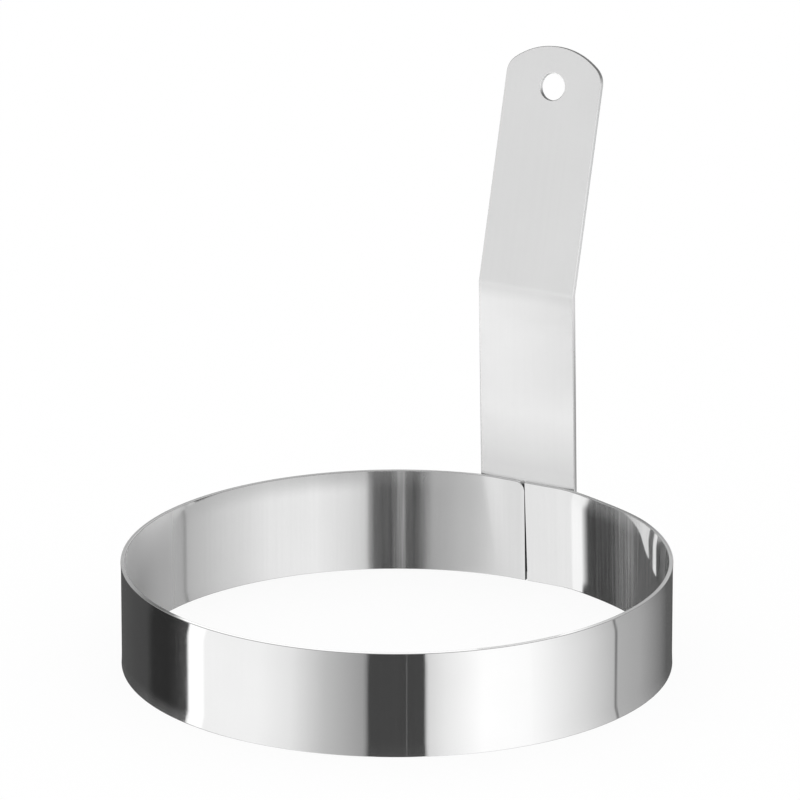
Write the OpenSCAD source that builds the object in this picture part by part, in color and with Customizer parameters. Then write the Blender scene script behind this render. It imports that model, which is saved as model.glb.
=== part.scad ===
// Egg ring: a rolled steel band with a butt seam, and a bent strip handle
// that is spot welded over the seam.
// Millimetres. The origin is the centre of the ring on the surface that it
// rests on, +Z is up, and the handle stands on the +Y side.

/* [Band] */
// Outer diameter of the ring
ring_d = 103; // [80:1:140]
// Height of the band
ring_h = 20; // [14:0.5:30]
// Thickness of the band's sheet
band_t = 0.8; // [0.5:0.1:1.5]
// How far the flat land under the handle lies inside the circle at the rim
land_in_top = 0.7; // [0.5:0.05:1.2]
// The same at the bottom edge, which sets the land's inward lean
land_in_bottom = 0.1; // [0.05:0.01:0.4]

/* [Seam] */
// Place of the left end of the strip, off the middle of the handle
seam_x = -0.3; // [-0.8:0.05:0]
// Width of the butt joint's gap at the rim
seam_gap_top = 0.05; // [0.02:0.01:0.3]
// Width of the butt joint's gap at the bottom edge
seam_gap_bottom = 0.5; // [0.1:0.05:1]
// Radius of the rounded corner at the rim, on the left end of the strip
seam_corner_r = 1.3; // [0.5:0.1:2.5]

/* [Handle] */
// Width of the handle's strip
strip_w = 20.3; // [16:0.1:26]
// Thickness of the handle's sheet
strip_t = 1; // [0.6:0.1:1.6]
// Height of the handle's lower end above the ring's bottom edge
foot_z = 1.5; // [0.5:0.1:3]
// Corner radius of the handle's lower end
foot_corner_r = 2; // [0.5:0.1:4]
// Height of the bend above the ring's bottom edge
bend_z = 59; // [45:0.5:80]
// Inside radius of the bend
bend_r = 2; // [1:0.1:4]
// Outward lean of the upper leg, in degrees
grip_lean = 15.4; // [8:0.1:30]
// Length of the upper leg from the bend to the top of its arc
grip_l = 46.3; // [34:0.1:70]
// Radius of the arc at the top of the handle
tip_r = 13.8; // [13:0.1:20]
// Radius of the two corners beside that arc
tip_corner_r = 4; // [2:0.1:6]

/* [Hanging hole] */
// Diameter of the hanging hole
hole_d = 5; // [3:0.1:8]
// Distance of the hole's centre from the top of the arc
hole_inset = 7.8; // [6:0.1:12]

/* [Spot welds] */
// Diameter of a weld nugget
weld_d = 3; // [2:0.1:3.4]
// Depth of a nugget in the band and in the foot, as a share of each sheet
weld_share = 0.6; // [0.3:0.05:0.8]
// Distance of each weld from the middle of the handle
weld_x = 4.4; // [3:0.1:4.8]
// Height of the lower pair of welds above the ring's bottom edge
weld_low_z = 6.5; // [5:0.5:8]
// Distance of the upper pair of welds below the rim
weld_top_inset = 5; // [3:0.5:6]
// Depth of the dimple that the electrode leaves on the back of the foot
dimple_depth = 0.12; // [0.05:0.01:0.25]
// Diameter of that dimple
dimple_d = 3.8; // [3.5:0.1:4.5]

/* [Hidden] */
$fn = 96;
ring_fn = 240;
bend_steps = 12;
cut_over = 1;
steel = "lightgray";
weld_steel = "silver";
ring_r = ring_d / 2;
// The land's face meets the rim here, and the same face carries the foot
rim_y = ring_r - land_in_top;
// Inward lean of the land, and of the foot and lower leg that follow it
leg_lean = atan((land_in_top - land_in_bottom) / ring_h);
// Height of the leg along its own face, from the rim to the bend
leg_rise = (bend_z - ring_h) / cos(leg_lean);
// The faces of the two legs cross here
bend_y = rim_y - (bend_z - ring_h) * tan(leg_lean);
bend_angle = leg_lean + grip_lean;
bend_face_r = bend_r + strip_t;
// The bend takes this much off each leg's face
bend_setback = bend_face_r * tan(bend_angle / 2);
// The bend runs this far into each leg, and each leg half as far into the bend
bend_lap = 2 * strip_t;
foot_drop = (ring_h - foot_z) / cos(leg_lean);
// Centres of the arc and of its corners, in the plane of the upper leg
tip_centre = grip_l - tip_r;
tip_corner_x = strip_w / 2 - tip_corner_r;
tip_corner_reach = tip_r - tip_corner_r;
tip_corner_rise = sqrt(pow(tip_corner_reach, 2) - pow(tip_corner_x, 2));
tip_corner_z = tip_centre + tip_corner_rise;
hole_z = grip_l - hole_inset;
weld_heights = [weld_low_z, ring_h - weld_top_inset];
weld_in_band = band_t * weld_share;
weld_in_foot = strip_t * weld_share;
// The electrode's tip is a sphere that cuts a dimple of that width and depth
dimple_r = (pow(dimple_d / 2, 2) + pow(dimple_depth, 2)) / (2 * dimple_depth);

// Frame of the leaning face shared by the land, the foot and the lower leg:
// x across, z up the face from the rim, y out of its back
module on_leg_face() {
    translate([0, rim_y, ring_h])
        rotate([leg_lean, 0, 0])
            children();
}

// Frame of the upper leg's inner face: z up the face from the bend
module on_grip_face() {
    translate([0, bend_y, bend_z])
        rotate([-grip_lean, 0, 0])
            children();
}

// Turns an outline drawn in x and y into a sheet that stands on the xz plane
module standing_sheet(thickness) {
    translate([0, thickness, 0])
        rotate([90, 0, 0])
            linear_extrude(thickness)
                children();
}

// A disc as high as the band with its +Y side planed off along the land
module landed_disc(radius, inset, over) {
    intersection() {
        translate([0, 0, -over])
            cylinder(h = ring_h + 2 * over, r = radius, $fn = ring_fn);
        on_leg_face()
            translate([-ring_d, -2 * ring_d - inset, -ring_d])
                cube([2 * ring_d, 2 * ring_d, 2 * ring_d]);
    }
}

// The gap of the butt joint, drawn in the plane of the land with the rim at 0:
// the left end is cut square and the right end runs away from it downwards
module seam_outline() {
    spread = (seam_gap_bottom - seam_gap_top) * cut_over / ring_h;
    polygon([
        [seam_x, cut_over],
        [seam_x + seam_gap_top - spread, cut_over],
        [seam_x + seam_gap_bottom + spread, -ring_h - cut_over],
        [seam_x, -ring_h - cut_over]
    ]);
}

// What the rounded corner of the strip's left end leaves open
module seam_corner_outline() {
    translate([seam_x - seam_corner_r, -seam_corner_r])
        difference() {
            square([seam_corner_r, seam_corner_r + cut_over]);
            circle(seam_corner_r);
        }
}

// Places a child at each spot weld, with its z axis out of the foot's back
module at_welds() {
    for (side = [-1, 1], height = weld_heights)
        on_leg_face()
            translate([side * weld_x, 0, (height - ring_h) / cos(leg_lean)])
                rotate([-90, 0, 0])
                    children();
}

module nugget() {
    translate([0, 0, -weld_in_band])
        cylinder(h = weld_in_band + weld_in_foot, d = weld_d);
}

// Lower leg and foot, seen from the ring's centre with the rim at 0
module leg_outline() {
    top = leg_rise - bend_setback - bend_lap / 2;
    half = strip_w / 2;
    translate([-half, foot_corner_r - foot_drop])
        square([strip_w, top + foot_drop - foot_corner_r]);
    translate([foot_corner_r - half, -foot_drop])
        square([strip_w - 2 * foot_corner_r, foot_corner_r]);
    for (side = [-1, 1])
        translate([side * (half - foot_corner_r), foot_corner_r - foot_drop])
            circle(foot_corner_r);
}

// Upper leg with its arched end and its two soft corners, the bend at 0
module grip_outline() {
    half = strip_w / 2;
    slice_rise = 2 * tip_r;
    slice_x = slice_rise * tip_corner_x / tip_corner_rise;
    start = bend_setback + bend_lap / 2;
    translate([-half, start])
        square([strip_w, tip_corner_z - start]);
    for (side = [-1, 1])
        translate([side * tip_corner_x, tip_corner_z])
            circle(tip_corner_r);
    // The arc's own slice lies between the centres of the two corners
    intersection() {
        translate([0, tip_centre])
            circle(tip_r, $fn = ring_fn);
        polygon([
            [0, tip_centre],
            [slice_x, tip_centre + slice_rise],
            [-slice_x, tip_centre + slice_rise]
        ]);
    }
}

// Points of the bend at a radius about its axis, in the frame of the leg's face
function bend_arc(radius, steps) = [
    for (step = steps)
        let (turn = bend_angle * step / bend_steps)
        [bend_face_r - radius * cos(turn), leg_rise - bend_setback + radius * sin(turn)]
];

// A point of the upper leg near the bend, at a depth behind its inner face
function past_bend(depth) =
    [0, leg_rise]
    + (bend_setback + bend_lap) * [sin(bend_angle), cos(bend_angle)]
    + depth * [cos(bend_angle), -sin(bend_angle)];

// The bend with a short length of each leg, in the frame of the leg's face
module bend() {
    start = leg_rise - bend_setback - bend_lap;
    translate([-strip_w / 2, 0, 0])
        rotate([90, 0, 90])
            linear_extrude(strip_w)
                polygon(concat(
                    [[0, start]],
                    bend_arc(bend_face_r, [0:bend_steps]),
                    [past_bend(0), past_bend(strip_t)],
                    bend_arc(bend_r, [bend_steps:-1:0]),
                    [[strip_t, start]]
                ));
}

module ring_band() {
    color(steel)
        difference() {
            landed_disc(ring_r, 0, 0);
            landed_disc(ring_r - band_t, band_t, cut_over);
            on_leg_face()
                translate([0, -2 * band_t, 0])
                    standing_sheet(3 * band_t) {
                        seam_outline();
                        seam_corner_outline();
                    }
            at_welds()
                nugget();
        }
}

module handle() {
    color(steel)
        difference() {
            union() {
                on_leg_face() {
                    standing_sheet(strip_t)
                        leg_outline();
                    bend();
                }
                on_grip_face()
                    standing_sheet(strip_t)
                        grip_outline();
            }
            on_grip_face()
                translate([0, -cut_over, hole_z])
                    rotate([-90, 0, 0])
                        cylinder(h = strip_t + 2 * cut_over, d = hole_d);
            at_welds() {
                nugget();
                translate([0, 0, strip_t + dimple_r - dimple_depth])
                    sphere(dimple_r);
            }
        }
}

module weld_nuggets() {
    color(weld_steel)
        at_welds()
            nugget();
}

ring_band();
handle();
weld_nuggets();
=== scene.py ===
import math

import bmesh
import bpy
from mathutils import Matrix, Vector


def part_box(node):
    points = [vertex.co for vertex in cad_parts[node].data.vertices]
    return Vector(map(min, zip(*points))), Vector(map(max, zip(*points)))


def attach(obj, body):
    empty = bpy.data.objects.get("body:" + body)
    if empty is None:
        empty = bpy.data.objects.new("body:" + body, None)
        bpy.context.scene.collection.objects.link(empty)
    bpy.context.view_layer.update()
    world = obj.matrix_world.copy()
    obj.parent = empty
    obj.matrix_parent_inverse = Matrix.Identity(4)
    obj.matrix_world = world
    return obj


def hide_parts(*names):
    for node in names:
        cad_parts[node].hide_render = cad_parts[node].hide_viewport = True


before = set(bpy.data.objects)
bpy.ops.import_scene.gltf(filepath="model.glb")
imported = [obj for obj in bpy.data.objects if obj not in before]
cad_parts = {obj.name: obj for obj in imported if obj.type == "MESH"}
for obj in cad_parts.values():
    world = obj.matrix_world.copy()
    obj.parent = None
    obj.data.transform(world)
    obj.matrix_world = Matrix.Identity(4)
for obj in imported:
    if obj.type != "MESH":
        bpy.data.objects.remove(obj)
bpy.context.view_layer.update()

# Egg ring: a rolled steel band and a bent strip handle, spot welded over the seam.
# Pieces are shaped in millimetres and brought to metres at the end.

scene = bpy.context.scene
scene.view_settings.view_transform = "Standard"
millimetre = 0.001
sameSpot = 1e-4  # mm, points closer than this are one
onPlane = 1e-5  # mm, points closer than this lie on a cutting plane
print("frame loaded:", ", ".join(sorted(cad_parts)))

# camera, at the photograph's viewing angle
cameraPlace = {
    "location": (0.75863, -1.34464, 0.56644),
    "turn": (71.544, 0.0, 29.41),  # degrees
    "lens": 395.54,
    "sensor": 36.0,
}

cameraData = bpy.data.cameras.new("camera")
cameraData.lens = cameraPlace["lens"]
cameraData.sensor_width = cameraPlace["sensor"]
camera = bpy.data.objects.new("camera", cameraData)
camera.location = cameraPlace["location"]
camera.rotation_euler = [math.radians(angle) for angle in cameraPlace["turn"]]
scene.collection.objects.link(camera)
scene.camera = camera
print("camera placed")


# small helpers

def emptyTree(holder):
    # the cleared nodes of a material or of the world
    holder.use_nodes = True
    holder.node_tree.nodes.clear()
    return holder.node_tree


def addNode(tree, kind, **settings):
    node = tree.nodes.new(kind)
    for name, value in settings.items():
        setattr(node, name, value)
    return node


def mathNode(tree, operation, *inputs):
    node = addNode(tree, "ShaderNodeMath", operation=operation)
    for socket, value in zip(node.inputs, inputs):
        if isinstance(value, (int, float)):
            socket.default_value = value
        else:
            tree.links.new(value, socket)
    return node.outputs[0]


def mapRange(tree, value, fromMin, fromMax, toMin, toMax, smooth=False):
    node = addNode(tree, "ShaderNodeMapRange", interpolation_type="SMOOTHSTEP" if smooth else "LINEAR")
    tree.links.new(value, node.inputs["Value"])
    for name, number in zip(("From Min", "From Max", "To Min", "To Max"), (fromMin, fromMax, toMin, toMax)):
        node.inputs[name].default_value = number
    return node.outputs["Result"]


def rampAlong(tree, value, stops):
    # a line drawn through (place, amount) or (place, colour) stops
    first, last = stops[0][0], stops[-1][0]
    node = addNode(tree, "ShaderNodeValToRGB")
    ramp = node.color_ramp
    while len(ramp.elements) < len(stops):
        ramp.elements.new(0.5)
    for element, (where, colour) in zip(ramp.elements, stops):
        if not isinstance(colour, tuple):
            colour = (colour, colour, colour)
        element.position = (where - first) / (last - first)
        element.color = (*colour, 1)
    tree.links.new(mapRange(tree, value, first, last, 0.0, 1.0), node.inputs["Fac"])
    return node.outputs["Color"]


def noiseNode(tree, vector, scale, detail):
    node = addNode(tree, "ShaderNodeTexNoise")
    node.inputs["Scale"].default_value = scale
    node.inputs["Detail"].default_value = detail
    tree.links.new(vector, node.inputs["Vector"])
    return node.outputs["Fac"]


def combineNode(tree, x, y):
    node = addNode(tree, "ShaderNodeCombineXYZ")
    tree.links.new(x, node.inputs["X"])
    tree.links.new(y, node.inputs["Y"])
    return node.outputs["Vector"]


def smoothStep(value):
    value = min(max(value, 0.0), 1.0)
    return value * value * (3 - 2 * value)


def softMin(a, b, softness):
    blend = max(softness - abs(a - b), 0.0) / softness
    return min(a, b) - blend * blend * softness / 4


def wholeMesh(bm):
    return bm.verts[:] + bm.edges[:] + bm.faces[:]


def cutRow(bm, place, normal):
    bmesh.ops.bisect_plane(bm, geom=wholeMesh(bm), dist=onPlane, plane_co=place, plane_no=normal)


def sharpEdges(bm, degrees):
    return [edge for edge in bm.edges if edge.is_manifold and edge.calc_face_angle() > math.radians(degrees)]


def makePiece(bm, name, materials, nodeName):
    bmesh.ops.scale(bm, vec=(millimetre,) * 3, verts=bm.verts)
    mesh = bpy.data.meshes.new(name)
    for material in materials:
        mesh.materials.append(material)
    bm.to_mesh(mesh)
    bm.free()
    mesh.polygons.foreach_set("use_smooth", [True] * len(mesh.polygons))
    piece = bpy.data.objects.new(name, mesh)
    scene.collection.objects.link(piece)
    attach(piece, "root")
    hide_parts(nodeName)
    print(name, "made:", len(mesh.polygons), "faces")


# steel finishes: stops lie at a turn round the band in degrees, 0 at the handle, or at a height in mm

plainFinish = {
    "round": 0,  # mm, the radius that lays a rolled sheet's streaks out flat
    "noiseSpan": (0.3, 0.7),  # most of a noise lies in here
    "cloudScale": 60.0,
    "cloudDetail": 2.0,
    "toneSpread": (0.985, 1.015),
    "streakScale": 1.3,
    "streakDetail": 3.0,
    "streakDraw": 0.02,
    "roughSpread": (0.75, 1.25),
    "haze": [(0, 0.0), (1, 0.0)],
    "hazeSpread": (0.5, 1.5),
    "edgeHaze": None,
    "edgeHazeSpan": (0.0, 3.2),  # heights in mm, from its most to none
    "edgeShade": [(-180, 0.0), (180, 0.0)],  # painted shade, darker over the same heights
    "hairline": None,  # place, half width and haze of one fine scratch
    "speck": None,
    "speckScale": 4500.0,
    "speckDetail": 2.0,
    "speckSpan": (0.42, 0.62),
    "weldTint": None,
    "bump": 0.02,
    "bumpDepth": 0.1,  # mm
}


def steelMaterial(name, finish):
    material = bpy.data.materials.new(name)
    tree = emptyTree(material)
    links = tree.links
    shader = addNode(tree, "ShaderNodeBsdfPrincipled")
    links.new(shader.outputs[0], addNode(tree, "ShaderNodeOutputMaterial").inputs["Surface"])
    place = addNode(tree, "ShaderNodeTexCoord").outputs["Object"]
    axes = addNode(tree, "ShaderNodeSeparateXYZ")
    links.new(place, axes.inputs["Vector"])
    height = mathNode(tree, "DIVIDE", axes.outputs["Z"], millimetre)
    if finish["round"]:
        angle = mathNode(tree, "ARCTAN2", axes.outputs["X"], axes.outputs["Y"])
        along = mathNode(tree, "DEGREES", angle)
        across = mathNode(tree, "MULTIPLY", angle, finish["round"])
    else:
        along = height
        across = mathNode(tree, "DIVIDE", axes.outputs["X"], millimetre)

    def alongTimes(stops, noise, spread):
        # the line through the stops, varied by a noise
        return mathNode(tree, "MULTIPLY", rampAlong(tree, along, stops),
                        mapRange(tree, noise, *finish["noiseSpan"], *spread))

    # cloudiness of the mill finish, and fine streaks drawn out along the height
    cloud = noiseNode(tree, place, finish["cloudScale"], finish["cloudDetail"])
    drawnOut = mathNode(tree, "MULTIPLY", height, finish["streakDraw"])
    sheetPlace = combineNode(tree, across, drawnOut)
    streak = noiseNode(tree, sheetPlace, finish["streakScale"], finish["streakDetail"])
    tone = alongTimes(finish["tone"], cloud, finish["toneSpread"])
    roughness = alongTimes(finish["roughness"], streak, finish["roughSpread"])
    # fine scratches scatter a little white light
    haze = alongTimes(finish["haze"], streak, finish["hazeSpread"])
    if finish["edgeHaze"]:
        near = mapRange(tree, height, *finish["edgeHazeSpan"], 1.0, 0.0, smooth=True)
        more = mathNode(tree, "MULTIPLY", near, rampAlong(tree, along, finish["edgeHaze"]))
        haze = mathNode(tree, "ADD", haze, more)
        # painted shade: the tone is darkened near the rim along the listed turns
        shade = mathNode(tree, "MULTIPLY", near, rampAlong(tree, along, finish["edgeShade"]))
        tone = mathNode(tree, "MULTIPLY", tone, mathNode(tree, "SUBTRACT", 1.0, shade))
    if finish["hairline"]:
        at, halfWidth, amount = finish["hairline"]
        beside = mathNode(tree, "ABSOLUTE", mathNode(tree, "SUBTRACT", along, at))
        haze = mathNode(tree, "ADD", haze, mapRange(tree, beside, 0.0, halfWidth, amount, 0.0))
    if finish["speck"]:
        # scuffed patches, stippled with tiny marks
        speck = noiseNode(tree, place, finish["speckScale"], finish["speckDetail"])
        marks = mapRange(tree, speck, *finish["speckSpan"], 0.0, 1.0)
        scuff = mathNode(tree, "MULTIPLY", rampAlong(tree, along, finish["speck"]), marks)
        roughness = mathNode(tree, "ADD", roughness, scuff)
    if finish["weldTint"]:
        tone = tintWelds(tree, axes, height, tone, finish["weldTint"])
    links.new(tone, shader.inputs["Base Color"])
    links.new(mathNode(tree, "SUBTRACT", 1.0, haze), shader.inputs["Metallic"])
    links.new(roughness, shader.inputs["Roughness"])
    bump = addNode(tree, "ShaderNodeBump")
    bump.inputs["Strength"].default_value = finish["bump"]
    bump.inputs["Distance"].default_value = finish["bumpDepth"] * millimetre
    links.new(streak, bump.inputs["Height"])
    links.new(bump.outputs["Normal"], shader.inputs["Normal"])
    return material


def tintWelds(tree, axes, height, tone, tint):
    # the heat of each spot weld leaves a straw ring on the back of the foot
    sideways = mathNode(tree, "DIVIDE", axes.outputs["X"], millimetre)
    sideways = mathNode(tree, "SUBTRACT", mathNode(tree, "ABSOLUTE", sideways), tint["x"])
    upward = mathNode(tree, "ABSOLUTE", mathNode(tree, "SUBTRACT", height, tint["middle"]))
    upward = mathNode(tree, "SUBTRACT", upward, tint["rise"])
    away = mathNode(tree, "SQRT", mathNode(tree, "ADD", mathNode(tree, "POWER", sideways, 2.0),
                                           mathNode(tree, "POWER", upward, 2.0)))
    # only the back: the foot's front lies on the band
    depth = mathNode(tree, "ADD", mathNode(tree, "DIVIDE", axes.outputs["Y"], millimetre),
                     mathNode(tree, "MULTIPLY", height, tint["lean"]))
    behind = mathNode(tree, "GREATER_THAN", depth, tint["backFrom"])
    nearWeld = mathNode(tree, "LESS_THAN", away, tint["rings"][-1][0])
    mix = addNode(tree, "ShaderNodeMix", data_type="RGBA", blend_type="MULTIPLY")
    tree.links.new(mathNode(tree, "MULTIPLY", behind, nearWeld), mix.inputs["Factor"])
    tree.links.new(tone, mix.inputs["A"])
    tree.links.new(rampAlong(tree, away, tint["rings"]), mix.inputs["B"])
    return mix.outputs["Result"]


# ring band: a rounded section turned once round, with its ends laid flat under the handle
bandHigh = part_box("ring_band")[1]
band = {
    "radius": bandHigh.x / millimetre,
    "height": bandHigh.z / millimetre,
    "sheet": 0.8,
    "edgeRound": 0.12,
    "roundSteps": 3,
    "support": 0.04,
    "rowsNearRim": (0.16, 0.3, 0.5, 0.75, 1.05, 1.4, 1.8, 2.25, 2.75),
    "rowStep": 1.2,
    "flare": 0.075,  # rolling curls the sheet's rims outwards
    "flareReach": 2.6,
    "turnSteps": 700,
    "endStep": 0.11,  # finer columns beside the seam
    "endColumns": 16,
    "landInTop": 0.7,
    "landInBottom": 0.1,
    "softness": 0.22,  # of the land's left edge
    "landTo": 7.0,  # the land's right edge, from the middle of the handle
    "leaving": ((10.2, 0.12, -0.040), (13.2, -0.168, -0.074), (17.5, -0.235, -0.03)),  # place, step, slope
    "leftBy": 34.0,
    "seamX": -0.3,
    "gapTop": 0.05,
    "gapBottom": 0.5,
    "gapReach": 8.0,
    "seamCorner": 1.9,
    "endRound": 0.045,
    "endRoundSteps": 2,
    "endFold": 50.0,  # degrees, a sharper fold is an edge of the strip's cut ends
    "cutShare": 0.6,  # how squarely a cut end faces along the strip
    "rimUp": 0.9,  # how squarely the rim's flat and its rounded edges face up
    "edgeUp": 0.2,
}
bandFinish = {**plainFinish, "round": 51.0}
bandOutside = steelMaterial("band_steel_outside", {
    **bandFinish,
    "tone": [(-180, 0.82), (180, 0.82)],
    "roughness": [(-180, 0.035), (180, 0.035)],
    "haze": [(-180, 0.01), (-166, 0.01), (-160, 0.04), (-155, 0.002), (-140, 0.002), (-132, 0.01),
             (180, 0.01)],
    "hairline": (148.6, 0.2, 0.10),
    "edgeHaze": [(-180, 0.02), (-162, 0.02), (-158, 0.13), (-147, 0.10), (-138, 0.03), (180, 0.02)],
    "speck": [(-180, 0.0), (-163, 0.0), (-160.5, 0.08), (-158, 0.10), (-154, 0.0), (140, 0.0),
              (143, 0.04), (146, 0.02), (158, 0.02), (160, 0.0), (180, 0.0)],
})
bandInside = steelMaterial("band_steel_inside", {
    **bandFinish,
    # painted reflection and shade: the inner wall's tone is raised on the far side and lowered left of the
    # handle and on the left land, copying light and dark reflections
    "tone": [(-180, 0.93), (-122, 0.93), (-112, 0.89), (-104, 0.85), (-84, 0.78), (-76, 0.70), (-66, 0.66),
             (-50, 0.67), (-40, 0.71), (-26, 0.76), (-20, 0.80), (-14, 0.79), (-9, 0.74), (-4, 0.68),
             (-0.335, 0.67), (-0.31, 0.74), (8, 0.75), (13, 0.75), (40, 0.78), (180, 0.93)],
    "roughness": [(-180, 0.30), (-87, 0.30), (-83, 0.12), (-80, 0.06), (-37, 0.06), (-35.5, 0.13),
                  (-33, 0.13), (-31, 0.06), (-26, 0.06), (-25, 0.12), (-22.5, 0.12), (-21, 0.06),
                  (180, 0.06)],
    "roughSpread": (0.97, 1.03),
    "haze": [(-180, 0.06), (-37, 0.06), (-35, 0.09), (-30.4, 0.09), (-29.2, 0.29), (-27.6, 0.36),
             (-26.8, 0.10), (-25.6, 0.07), (-24.6, 0.16), (-22.0, 0.16), (-18, 0.05), (13.5, 0.05),
             (16, 0.08), (24, 0.09), (28.5, 0.27), (32.5, 0.27), (34, 0.19), (38, 0.12), (60, 0.06),
             (180, 0.06)],
    "edgeHaze": [(-180, 0.0), (-60, 0.0), (-40, 0.10), (-22, 0.10), (-15, 0.04), (10, 0.04), (15, 0.18),
                 (28, 0.18), (40, 0.08), (60, 0.0), (180, 0.0)],
    "edgeHazeSpan": (20.0, 15.5),
    # painted shade: the inner wall is drawn darker just under the rim, left of the handle
    "edgeShade": [(-180, 0.0), (-90, 0.0), (-70, 0.18), (-60, 0.24), (-50, 0.29), (-42, 0.31),
                  (-37, 0.24), (-33, 0.0), (180, 0.0)],
    "hairline": (-27.8, 0.3, 0.07),
    "bump": 0.008,
})
bandRim = steelMaterial("band_steel_rim", {
    **bandFinish,
    # painted reflection: the rim's tone runs from near black to light round the band, copying the
    # reflections along its top
    "tone": [(-180, 0.84), (-160, 0.87), (-156.5, 0.12), (-152, 0.03), (-146, 0.08), (-137, 0.26),
             (-130, 0.38), (-119, 0.64), (-100, 0.60), (-74, 0.50), (-29, 0.34), (-15, 0.38), (-11, 0.80),
             (11, 0.80), (15, 0.38), (22, 0.28), (36, 0.27), (46, 0.52), (60, 0.68), (81, 0.34), (95, 0.31),
             (105, 0.50), (113, 0.84), (180, 0.84)],
    "roughness": [(-180, 0.08), (180, 0.08)],
})
# painted shade: the rim's upward rounded edges are drawn darker
bandEdge = steelMaterial("band_steel_edge", {
    **bandFinish,
    "tone": [(-180, 0.36), (180, 0.36)],
    "roughness": [(-180, 0.2), (180, 0.2)],
})
# painted shade: the strip's cut ends at the seam are drawn near black, as the shadow in the gap
bandCut = steelMaterial("band_steel_cut", {
    **plainFinish,
    "tone": [(0, 0.16), (20, 0.16)],
    "roughness": [(0, 0.5), (20, 0.5)],
    "streakScale": 4.0,
    "bump": 0.1,
})
bandSteels = [bandOutside, bandInside, bandCut, bandRim, bandEdge]
print("band finishes made")


def bandRows():
    near = band["rowsNearRim"]
    between = band["height"] - 2 * near[-1]
    count = round(between / band["rowStep"])
    middle = [near[-1] + between * i / count for i in range(1, count)]
    return sorted(near + tuple(middle) + tuple(band["height"] - row for row in near))


def easeBetween(start, end, place):
    # a cubic between two (place, offset, slope) knots
    (a, offsetA, slopeA), (b, offsetB, slopeB) = start, end
    t = (place - a) / (b - a)
    slopes = slopeA * (t ** 3 - 2 * t * t + t) + slopeB * (t ** 3 - t * t)
    return offsetA + (offsetB - offsetA) * smoothStep(t) + (b - a) * slopes


def offCircle(along, inset):
    # how far the right end stands off the circle after it leaves the land
    start, radius = band["landTo"], band["radius"]
    knots = [(start, start * start / (2 * radius) - inset, start / radius)]
    for place, step, slope in band["leaving"]:
        knots.append((place, knots[-1][1] + step, slope))
    knots.append((band["leftBy"], 0.0, 0.0))
    for knot, following in zip(knots, knots[1:]):
        if along <= following[0]:
            return easeBetween(knot, following, along)
    return 0.0


def shapeBandVertex(co):
    radius, height, sheet = band["radius"], band["height"], band["sheet"]
    middle = radius - sheet / 2
    turn, reach = math.atan2(co.x, co.y), math.hypot(co.x, co.y)
    fromRim = min(co.z, height - co.z)
    along = turn * middle
    flare = band["flare"] * smoothStep(abs(along) / band["landTo"] - 1)
    curl = max(1 - fromRim / band["flareReach"], 0.0)
    if co.z > height / 2:
        # the rim's own face stays square to the flared sheet
        co.z -= (reach - middle) * 2 * flare / band["flareReach"] * curl
    reach -= flare * (1 - curl * curl)
    if co.y > 0 and abs(along) < 2 * band["gapReach"]:
        if along > band["seamX"]:
            opened = (band["gapBottom"] - band["gapTop"]) * (1 - co.z / height)
            along += opened * (1 - smoothStep((along - band["seamX"]) / band["gapReach"]))
        else:
            # the left end's corner at the rim is rounded
            corner = band["seamCorner"]
            inX = corner - (band["seamX"] - along)
            inZ = corner - (height - co.z)
            if inX > 0 and inZ > 0:
                share = max(inX, inZ) / math.hypot(inX, inZ)
                along = band["seamX"] - (corner - inX * share)
                co.z = height - (corner - inZ * share)
        turn = along / middle
    inset = band["landInBottom"] + (band["landInTop"] - band["landInBottom"]) * co.z / height
    land = reach - inset
    if band["landTo"] < along < band["leftBy"]:
        reach += offCircle(along, inset)
    co.x = reach * math.sin(turn)
    co.y = reach * math.cos(turn)
    if 0 < along <= band["landTo"]:
        co.y = land
    elif -band["leftBy"] < along <= 0:
        co.y = softMin(co.y, land, band["softness"])


def bandSteelAt(face):
    centre, normal = face.calc_center_median(), face.normal
    outward = normal.x * centre.x + normal.y * centre.y
    sideways = normal.x * centre.y - normal.y * centre.x
    if abs(sideways) > band["cutShare"] * band["radius"]:
        return bandCut
    if normal.z > band["rimUp"]:
        return bandRim
    # upward rounded edges take the painted-shade steel
    if normal.z > band["edgeUp"]:
        return bandEdge
    return bandInside if outward < 0 else bandOutside


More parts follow.
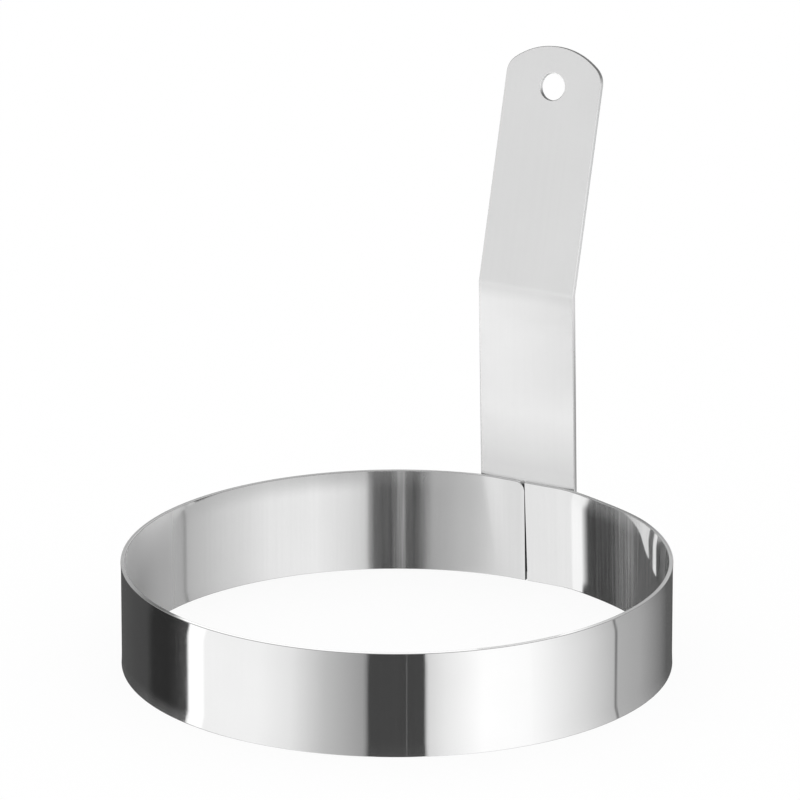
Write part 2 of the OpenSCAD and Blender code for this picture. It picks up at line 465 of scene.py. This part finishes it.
def makeBand():
    radius, height, sheet = band["radius"], band["height"], band["sheet"]
    middle = radius - sheet / 2
    bm = bmesh.new()
    # the section stands across the band at +Y: x of the grid runs outwards, y of the grid up
    standing = Matrix(((0, 0, 1, 0), (1, 0, 0, 0), (0, 1, 0, 0), (0, 0, 0, 1)))
    place = Matrix.Translation((0, middle, height / 2)) @ standing @ Matrix.Diagonal((sheet, height, 1, 1))
    bmesh.ops.create_grid(bm, x_segments=1, y_segments=1, size=0.5, matrix=place)
    bmesh.ops.bevel(bm, geom=bm.verts[:], offset=band["edgeRound"], segments=band["roundSteps"],
                    profile=0.5, affect="VERTICES", material=-1)
    for row in bandRows():
        cutRow(bm, (0, 0, row), (0, 0, 1))
    for side in (-1, 1):
        flat = sheet / 2 - band["edgeRound"] - band["support"]
        cutRow(bm, (0, middle + side * flat, 0), (0, 1, 0))
    toSeam = Matrix.Rotation(-band["seamX"] / middle, 3, "Z")
    bmesh.ops.rotate(bm, cent=(0, 0, 0), matrix=toSeam, verts=bm.verts)
    endTurn = band["endStep"] * band["endColumns"] / middle
    gapTurn = band["gapTop"] / middle
    section = wholeMesh(bm)
    for angle, steps in ((endTurn, band["endColumns"]),
                         (2 * math.pi - gapTurn - 2 * endTurn, band["turnSteps"]),
                         (endTurn, band["endColumns"])):
        turned = bmesh.ops.spin(bm, geom=section, cent=(0, 0, 0), axis=(0, 0, 1), dvec=(0, 0, 0),
                                angle=angle, steps=steps, use_merge=False, use_duplicate=False)
        section = turned["geom_last"]
    for vert in bm.verts:
        shapeBandVertex(vert.co)
    bmesh.ops.recalc_face_normals(bm, faces=bm.faces)
    bm.normal_update()
    bmesh.ops.bevel(bm, geom=sharpEdges(bm, band["endFold"]), offset=band["endRound"],
                    segments=band["endRoundSteps"], profile=0.5,
                    affect="EDGES", clamp_overlap=True, material=-1)
    bm.normal_update()
    for face in bm.faces:
        face.material_index = bandSteels.index(bandSteelAt(face))
    makePiece(bm, "ring_band_steel", bandSteels, "ring_band")


makeBand()


# handle: a flat blank with its hole and weld dimples, bent once
handle = {
    "width": 20.3,
    "sheet": 1.0,
    "footZ": 1.5,
    "footCorner": 2.0,
    "bendZ": 59.0,
    "bendRadius": 2.0,
    "bendRows": 12,
    "rowsByBend": (1.25, 1.8),  # more rows beside the bend, in shares of its reach
    "gripLean": math.radians(15.4),
    "gripLength": 46.3,
    "tipRadius": 13.8,
    "tipCorner": 4.0,
    "tipSteps": 26,
    "cornerSteps": 10,
    "holeRadius": 2.6,
    "holeInset": 7.65,
    "holeSteps": 72,
    "edgeRound": 0.09,
    "edgeSteps": 3,
    "edgeFold": 60.0,  # degrees, a sharper fold is an edge of the blank
    "support": 0.12,
    "faceShare": 0.98,  # how squarely the strip's two faces face across it
}
weld = {
    "x": 4.4,
    "lowZ": 6.5,
    "topInset": 5.0,
    "radius": 1.9,
    "depth": 0.12,
    "segments": 48,
    "rows": (0.25, 0.08, -0.04, -0.15, -0.4, -0.7, -1.05, -1.45),  # off the dimple's radius
}
weldHeights = (weld["lowZ"], band["height"] - weld["topInset"])
# the foot and lower leg lean inwards with the land
landLean = (band["landInTop"] - band["landInBottom"]) / band["height"]
legLean = math.atan(landLean)
legRise = (handle["bendZ"] - band["height"]) / math.cos(legLean)
footEnd = -(handle["bendZ"] - handle["footZ"]) / math.cos(legLean)
bendSetback = (handle["bendRadius"] + handle["sheet"]) * math.tan((legLean + handle["gripLean"]) / 2)
holeHeight = handle["gripLength"] - handle["holeInset"]  # up the upper leg from the bend

handleSteel = steelMaterial("handle_steel", {
    **plainFinish,
    # a satin face; its tone by height is painted light and shade: darker on the lower leg, lighter above it,
    # darker again from the bend up
    "tone": [(0, 0.71), (23, 0.71), (34, 0.92), (50, 0.93), (56, 0.86), (58, 0.76), (60.5, 0.75),
             (110, 0.745)],
    "roughness": [(0, 0.16), (110, 0.16)],
    "roughSpread": (0.97, 1.03),
    "haze": [(0, 0.40), (23, 0.45), (33, 0.65), (52, 0.65), (58, 0.50), (110, 0.50)],
    "hazeSpread": (0.99, 1.01),
    "streakScale": 1.0,
    "weldTint": {
        "x": weld["x"],
        "middle": sum(weldHeights) / 2,
        "rise": (weldHeights[1] - weldHeights[0]) / 2,
        "lean": landLean,
        "backFrom": band["radius"] - band["landInBottom"] + handle["sheet"] / 2,
        "rings": [(0.0, (0.66, 0.66, 0.68)), (1.7, (0.74, 0.72, 0.70)), (2.2, (0.86, 0.74, 0.56)),
                  (3.0, (0.94, 0.88, 0.76)), (4.2, (1.0, 1.0, 1.0))],  # mm from the weld, colour
    },
})
handleEdge = steelMaterial("handle_steel_edge", {
    **plainFinish,
    # painted light and shade: the edges are drawn near black over the top of the tip and lighter lower down
    "tone": [(0, 0.80), (48, 0.80), (58, 0.92), (92, 0.86), (98.0, 0.80), (99.2, 0.24), (100.5, 0.12),
             (110, 0.08)],
    "roughness": [(0, 0.28), (110, 0.28)],
    "haze": [(0, 0.0), (40, 0.05), (48, 0.35), (56, 0.60), (98.0, 0.55), (99.2, 0.02), (110, 0.0)],
    "hazeSpread": (0.9, 1.1),
})
handleHole = steelMaterial("handle_steel_hole", {
    **plainFinish,
    # painted shade and light: the hole's lower wall is drawn near black, its upper wall light
    "tone": [(90, 0.08), (94.5, 0.10), (95.1, 0.35), (95.8, 0.90), (100, 0.95)],
    "roughness": [(90, 0.28), (100, 0.28)],
    "haze": [(90, 0.0), (94.5, 0.02), (95.1, 0.30), (95.8, 0.65), (100, 0.70)],
    "hazeSpread": (0.9, 1.1),
})
handleSteels = [handleSteel, handleEdge, handleHole]
print("handle finishes made")


def turnVertex(bm, vert, centre, axis, angle, steps):
    made = bmesh.ops.spin(bm, geom=[vert], cent=centre, axis=axis, dvec=(0, 0, 0),
                          angle=angle, steps=steps, use_merge=False, use_duplicate=False)
    return next(item for item in made["geom_last"] if isinstance(item, bmesh.types.BMVert))


def drawVertex(bm, vert, place):
    made = bmesh.ops.extrude_vert_indiv(bm, verts=[vert])["verts"][0]
    made.co = place
    return made


def handleOutline(bm):
    half, foot = handle["width"] / 2, handle["footCorner"]
    tip, corner = handle["tipRadius"], handle["tipCorner"]
    tipCentre = handle["gripLength"] - tip
    cornerX = half - corner
    cornerRise = math.sqrt((tip - corner) ** 2 - cornerX ** 2)
    spread = math.atan2(cornerX, cornerRise)
    across, steps = (0, 1, 0), handle["cornerSteps"]
    vert = bmesh.ops.create_vert(bm, co=(0, 0, handle["gripLength"]))["vert"][0]
    vert = turnVertex(bm, vert, (0, 0, tipCentre), across, spread, handle["tipSteps"])
    vert = turnVertex(bm, vert, (cornerX, 0, tipCentre + cornerRise), across, math.pi / 2 - spread, steps)
    vert = drawVertex(bm, vert, (half, 0, footEnd + foot))
    vert = turnVertex(bm, vert, (half - foot, 0, footEnd + foot), across, math.pi / 2, steps)
    drawVertex(bm, vert, (0, 0, footEnd))
    bmesh.ops.mirror(bm, geom=wholeMesh(bm), axis="X", merge_dist=sameSpot)
    bmesh.ops.remove_doubles(bm, verts=bm.verts, dist=sameSpot)


def addHole(bm):
    # the rounded section of the hole's wall, turned about the hole's axis
    radius, sheet, soft = handle["holeRadius"], handle["sheet"], handle["edgeRound"]
    outer = radius + soft + handle["support"]
    before = set(bm.verts)
    vert = bmesh.ops.create_vert(bm, co=(outer, 0, holeHeight))["vert"][0]
    vert = drawVertex(bm, vert, (radius + soft, 0, holeHeight))
    for centreY, nextPlace in ((soft, (radius, sheet - soft, holeHeight)),
                               (sheet - soft, (outer, sheet, holeHeight))):
        centre = (radius + soft, centreY, holeHeight)
        vert = turnVertex(bm, vert, centre, (0, 0, 1), -math.pi / 2, handle["edgeSteps"])
        vert = drawVertex(bm, vert, nextPlace)
    wall = [item for item in bm.verts if item not in before]
    wallEdges = [edge for edge in bm.edges if edge.verts[0] in wall and edge.verts[1] in wall]
    bmesh.ops.spin(bm, geom=wall + wallEdges, cent=(0, 0, holeHeight), axis=(0, 1, 0), dvec=(0, 0, 0),
                   angle=2 * math.pi, steps=handle["holeSteps"], use_merge=True, use_duplicate=False)


def dimpleDepth(radius):
    sphere = (weld["radius"] ** 2 + weld["depth"] ** 2) / (2 * weld["depth"])
    return weld["depth"] - (sphere - math.sqrt(sphere ** 2 - radius ** 2))


def addDimple(bm, x, z):
    flat = Matrix.Translation((x, handle["sheet"], z)) @ Matrix.Rotation(math.pi / 2, 4, "X")
    radius, *rings = [weld["radius"] + off for off in weld["rows"]]
    made = bmesh.ops.create_circle(bm, cap_ends=True, radius=radius, segments=weld["segments"], matrix=flat)
    disc = made["verts"][0].link_faces[0]
    for ring in rings:
        bmesh.ops.inset_region(bm, faces=[disc], thickness=radius - ring, depth=0.0,
                               use_boundary=True, use_even_offset=True)
        radius = ring
        for vert in disc.verts:
            vert.co.y = handle["sheet"] - max(dimpleDepth(ring), 0.0)


def bendVertex(co):
    upLow = Vector((0, -math.sin(legLean), math.cos(legLean)))
    outLow = Vector((0, math.cos(legLean), math.sin(legLean)))
    upHigh = Vector((0, math.sin(handle["gripLean"]), math.cos(handle["gripLean"])))
    outHigh = Vector((0, math.cos(handle["gripLean"]), -math.sin(handle["gripLean"])))
    corner = Vector((0, band["radius"] - band["landInTop"], band["height"])) + upLow * legRise
    x, depth, along = co
    if along <= -bendSetback:
        place = corner + upLow * along + outLow * depth
    elif along >= bendSetback:
        place = corner + upHigh * along + outHigh * depth
    else:
        faceRadius = handle["bendRadius"] + handle["sheet"]
        axis = corner - upLow * bendSetback + outLow * faceRadius
        turn = (along + bendSetback) / (2 * bendSetback) * (legLean + handle["gripLean"])
        place = axis + (faceRadius - depth) * (upLow * math.sin(turn) - outLow * math.cos(turn))
    co.x, co.y, co.z = x, place.y, place.z


def handleSteelAt(face):
    # asked before the blank is bent
    if abs(face.normal.y) >= handle["faceShare"]:
        return handleSteel
    centre = face.calc_center_median()
    fromHole = math.hypot(centre.x, centre.z - holeHeight)
    return handleHole if fromHole < handle["holeRadius"] + handle["edgeRound"] else handleEdge


def makeHandle():
    sheet = handle["sheet"]
    bm = bmesh.new()
    handleOutline(bm)
    bmesh.ops.contextual_create(bm, geom=bm.edges[:])
    grown = bmesh.ops.extrude_face_region(bm, geom=bm.faces[:])
    bmesh.ops.translate(bm, vec=(0, sheet, 0),
                        verts=[item for item in grown["geom"] if isinstance(item, bmesh.types.BMVert)])
    bmesh.ops.recalc_face_normals(bm, faces=bm.faces)
    bm.normal_update()
    bmesh.ops.bevel(bm, geom=sharpEdges(bm, handle["edgeFold"]), offset=handle["edgeRound"],
                    segments=handle["edgeSteps"], profile=0.5,
                    affect="EDGES", clamp_overlap=True, material=-1)
    # the two broad faces are opened, and filled again round the hole and the dimples
    broad = sorted(bm.faces, key=lambda face: face.calc_area())[-2:]
    bmesh.ops.inset_region(bm, faces=broad, thickness=handle["support"], depth=0.0, use_even_offset=True)
    bmesh.ops.delete(bm, geom=broad, context="FACES_ONLY")
    addHole(bm)
    for side in (-1, 1):
        for height in weldHeights:
            addDimple(bm, side * weld["x"], (height - handle["bendZ"]) / math.cos(legLean))
    for level, direction in ((0.0, -1), (sheet, 1)):
        rim = [edge for edge in bm.edges
               if edge.is_boundary and all(abs(vert.co.y - level) < sameSpot for vert in edge.verts)]
        bmesh.ops.triangle_fill(bm, use_beauty=True, use_dissolve=False, edges=rim, normal=(0, direction, 0))
    for i in range(handle["bendRows"] + 1):
        cutRow(bm, (0, 0, bendSetback * (2 * i / handle["bendRows"] - 1)), (0, 0, 1))
    for share in handle["rowsByBend"]:
        for side in (-1, 1):
            cutRow(bm, (0, 0, side * share * bendSetback), (0, 0, 1))
    bmesh.ops.recalc_face_normals(bm, faces=bm.faces)
    bm.normal_update()
    for face in bm.faces:
        face.material_index = handleSteels.index(handleSteelAt(face))
    for vert in bm.verts:
        bendVertex(vert.co)
    makePiece(bm, "handle_steel", handleSteels, "handle")


makeHandle()

# the weld nuggets stay as they are between the sheets
weldSteel = steelMaterial("weld_steel", {
    **plainFinish,
    "tone": [(0, 0.56), (20, 0.56)],
    "toneSpread": (0.88, 1.12),
    "cloudScale": 800.0,
    "roughness": [(0, 0.38), (20, 0.38)],
    "bump": 0.1,
})
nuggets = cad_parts["weld_nuggets"]
nuggets.data.materials.clear()
nuggets.data.materials.append(weldSteel)
print("weld nuggets finished")


# studio: white floor, and a light tent whose panels only the steel reflects
floor = {
    "size": 6.0,
    "white": 0.9,
    "shadowShare": 0.14,  # how much of the floor's white a shadow can take away
}


def diffuseNode(tree, grey):
    node = addNode(tree, "ShaderNodeBsdfDiffuse")
    node.inputs["Color"].default_value = (grey, grey, grey, 1)
    return node.outputs[0]


def mixByRay(tree, ray, other, seen, target):
    mix = addNode(tree, "ShaderNodeMixShader")
    tree.links.new(addNode(tree, "ShaderNodeLightPath").outputs[ray], mix.inputs["Fac"])
    tree.links.new(other, mix.inputs[1])
    tree.links.new(seen, mix.inputs[2])
    tree.links.new(mix.outputs[0], target.inputs["Surface"])


def makeFloor():
    bm = bmesh.new()
    bmesh.ops.create_grid(bm, x_segments=1, y_segments=1, size=floor["size"] / 2)
    mesh = bpy.data.meshes.new("floor")
    bm.to_mesh(mesh)
    bm.free()
    material = bpy.data.materials.new("floor_white")
    tree = emptyTree(material)
    white = addNode(tree, "ShaderNodeEmission")
    white.inputs["Strength"].default_value = 1 - floor["shadowShare"]
    seen = addNode(tree, "ShaderNodeAddShader")
    tree.links.new(white.outputs[0], seen.inputs[0])
    tree.links.new(diffuseNode(tree, floor["shadowShare"]), seen.inputs[1])
    output = addNode(tree, "ShaderNodeOutputMaterial")
    mixByRay(tree, "Is Camera Ray", diffuseNode(tree, floor["white"]), seen.outputs[0], output)
    mesh.materials.append(material)
    piece = bpy.data.objects.new("floor", mesh)
    piece.visible_glossy = False
    scene.collection.objects.link(piece)
    print("floor made")


tent = {
    # brightness of the panels from degree to degree, right of the camera
    "panels": [
        (-180, 0.095), (-129, 0.070),  # open room on the left
        (-123, 0.032), (-97.8, 0.028),  # dark beside the strip light
        (-97.4, 1.25), (-88, 1.25),  # strip light
        (-87.4, 1.07), (-60, 1.06), (-45, 0.93), (-30, 0.60), (-12.8, 0.37),  # left screen
        (-12.4, 0.062), (12.1, 0.062),  # dark gap behind the camera
        (12.5, 0.80), (20, 0.97), (36, 1.22), (56, 1.18), (85, 0.82), (103.2, 0.56),  # right screen
        (103.7, 0.19), (104.9, 0.19),  # join of the screens
        (105.4, 0.50), (122, 0.43),  # past the join
        (154, 0.12), (180, 0.095),  # the room again
    ],
    # brightness above the screens against the sine of the height: a dim gap, then the roof
    "roof": [(-1.0, 0.9), (0.20, 0.93), (0.26, 0.60), (0.33, 0.60), (0.37, 1.1), (0.41, 1.2), (1.0, 1.1)],
    "roofFrom": -0.19,
    "roofTo": 0.15,
}


def makeWorld():
    world = bpy.data.worlds.new("light_tent")
    scene.world = world
    tree = emptyTree(world)
    links = tree.links
    turned = addNode(tree, "ShaderNodeVectorRotate", rotation_type="Z_AXIS")
    turned.inputs["Angle"].default_value = -math.radians(cameraPlace["turn"][2])
    links.new(addNode(tree, "ShaderNodeTexCoord").outputs["Generated"], turned.inputs["Vector"])
    axes = addNode(tree, "ShaderNodeSeparateXYZ")
    links.new(turned.outputs["Vector"], axes.inputs["Vector"])
    back = mathNode(tree, "MULTIPLY", axes.outputs["Y"], -1.0)
    azimuth = mathNode(tree, "DEGREES", mathNode(tree, "ARCTAN2", axes.outputs["X"], back))

    # above the horizon the screens give way to the roof
    upward = mapRange(tree, axes.outputs["Z"], tent["roofFrom"], tent["roofTo"], 0.0, 1.0, smooth=True)
    whole = addNode(tree, "ShaderNodeMix", data_type="RGBA")
    links.new(upward, whole.inputs["Factor"])
    links.new(rampAlong(tree, azimuth, tent["panels"]), whole.inputs["A"])
    links.new(rampAlong(tree, axes.outputs["Z"], tent["roof"]), whole.inputs["B"])
    tentLight = addNode(tree, "ShaderNodeBackground")
    links.new(whole.outputs["Result"], tentLight.inputs["Color"])
    plainLight = addNode(tree, "ShaderNodeBackground")
    plainLight.inputs["Color"].default_value = (1, 1, 1, 1)
    output = addNode(tree, "ShaderNodeOutputWorld")
    mixByRay(tree, "Is Glossy Ray", plainLight.outputs[0], tentLight.outputs[0], output)
    print("light tent made with", len(tent["panels"]), "stops")


makeFloor()
makeWorld()
